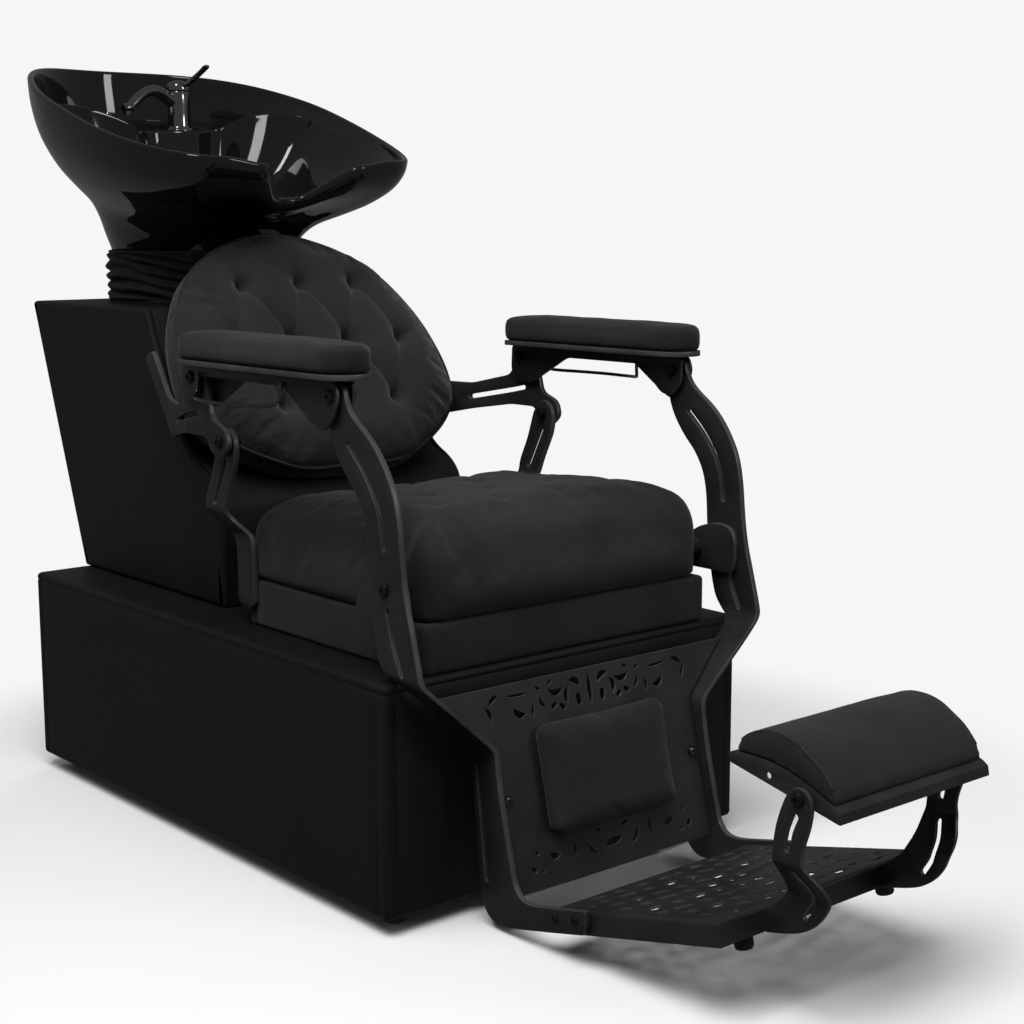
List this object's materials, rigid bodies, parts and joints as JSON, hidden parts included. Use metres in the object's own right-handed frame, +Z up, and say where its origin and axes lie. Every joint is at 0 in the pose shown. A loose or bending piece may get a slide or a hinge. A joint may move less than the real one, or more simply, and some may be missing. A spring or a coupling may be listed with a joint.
{
  "type": "shampoo backwash unit",
  "caption": "Salon shampoo backwash unit: padded seat and reclining back on a box plinth, tilting black ceramic basin on a tower, slotted steel armrest links, foot frame with leg rest.",
  "frame": {"origin": "on the floor, under the middle of the unit's bounding box", "axes": "+Z up; the client faces -Y, the basin is at +Y; +X is the client's left. Nodes named left are at -X and nodes named right at +X, as seen by someone who faces the unit."},
  "size_m": [0.665, 1.7438, 1.0997],
  "materials": {
    "vinyl": "matte black upholstery vinyl",
    "suede": "black suede-like upholstery fabric",
    "plate_steel": "satin black powder coat",
    "bolts": "black button-head bolts",
    "rubber": "matte black rubber",
    "ceramic": "glossy black glazed ceramic",
    "chrome": "polished chrome",
    "board": "dark covered plywood"
  },
  "bodies": {
    "base": {"plinth": "vinyl", "glide_front_left": "rubber", "glide_front_right": "rubber", "glide_rear_left": "rubber", "glide_rear_right": "rubber", "tower": "vinyl", "seat_box": "vinyl", "seat_cushion": "suede", "rear_bracket_left": "plate_steel", "rear_bracket_right": "plate_steel", "seat_pivot_left": "plate_steel", "seat_pivot_right": "plate_steel", "leg_bolt_left": "bolts", "leg_bolt_right": "bolts", "back_bolt_left": "bolts", "back_bolt_right": "bolts", "tilt_stand": "plate_steel", "waste_pipe": "rubber", "bellows": "rubber"},
    "basin": {"basin": "ceramic", "drain_strainer": "chrome", "tilt_shaft": "bolts", "hose_guide": "chrome", "mixer_body": "chrome"},
    "mixer_cap": {"mixer_cap": "chrome"},
    "mixer_lever": {"mixer_lever": "chrome"},
    "back": {"back_cushion": "suede", "back_board": "board", "back_arm_left": "plate_steel", "back_arm_right": "plate_steel"},
    "armrest_left": {"arm_pad_left": "suede", "arm_board_left": "plate_steel", "arm_cheek_outer_left": "plate_steel", "arm_cheek_inner_left": "plate_steel", "arm_bolt_front_left": "bolts", "arm_bolt_rear_left": "bolts", "towel_rail_left": "chrome"},
    "armrest_right": {"arm_pad_right": "suede", "arm_board_right": "plate_steel", "arm_cheek_outer_right": "plate_steel", "arm_cheek_inner_right": "plate_steel", "arm_bolt_front_right": "bolts", "arm_bolt_rear_right": "bolts", "towel_rail_right": "chrome"},
    "foot_frame": {"front_leg_left": "plate_steel", "front_leg_right": "plate_steel", "front_panel": "plate_steel", "calf_pad": "vinyl", "panel_bolt_left": "bolts", "panel_bolt_right": "bolts", "foot_plate": "plate_steel", "foot_plate_stop_left": "rubber", "foot_plate_stop_right": "rubber", "leg_rest_bracket_left": "plate_steel", "leg_rest_bracket_right": "plate_steel", "flip_bolt_left": "bolts", "flip_bolt_right": "bolts"},
    "leg_rest": {"leg_rest_tray": "plate_steel", "leg_rest_pad": "vinyl"}
  },
  "joints": [
    {"name": "basin_tilt", "type": "hinge", "parent": "base", "child": "basin", "pos_m": [0, 0.52175, 0.764], "axis": [1, 0, 0], "range_deg": [-12, 0], "deforming": ["bellows"]},
    {"name": "mixer_turn", "type": "hinge", "parent": "basin", "child": "mixer_cap", "pos_m": [0.062, 0.71675, 1.062], "axis": [0, 0, 1], "range_deg": [-45, 45]},
    {"name": "mixer_lift", "type": "hinge", "parent": "mixer_cap", "child": "mixer_lever", "pos_m": [0.066, 0.69625, 1.0686], "axis": [-1, 0, 0], "range_deg": [0, 18]},
    {"name": "back_recline", "type": "hinge", "parent": "base", "child": "back", "pos_m": [0, 0.02875, 0.561], "axis": [1, 0, 0], "range_deg": [0, 3.6]},
    {"name": "armrest_link_left", "type": "hinge", "parent": "back", "child": "armrest_left", "pos_m": [-0.285, 0.08375, 0.643], "axis": [1, 0, 0], "range_deg": [-3.5, 0]},
    {"name": "armrest_link_right", "type": "hinge", "parent": "back", "child": "armrest_right", "pos_m": [0.285, 0.08375, 0.643], "axis": [1, 0, 0], "range_deg": [-3.5, 0]},
    {"name": "foot_frame_swing", "type": "hinge", "parent": "base", "child": "foot_frame", "pos_m": [0, -0.32925, 0.422], "axis": [1, 0, 0], "range_deg": [0, 1.4]},
    {"name": "leg_rest_flip", "type": "hinge", "parent": "foot_frame", "child": "leg_rest", "pos_m": [0, -0.82225, 0.262], "axis": [1, 0, 0], "range_deg": [-30, 80]}
  ],
  "couplings": [
    {"joint": "foot_frame_swing", "follows": "back_recline", "ratio": 0.3753},
    {"joint": "armrest_link_left", "follows": "back_recline", "ratio": -0.9362},
    {"joint": "armrest_link_right", "follows": "back_recline", "ratio": -0.9362}
  ]
}
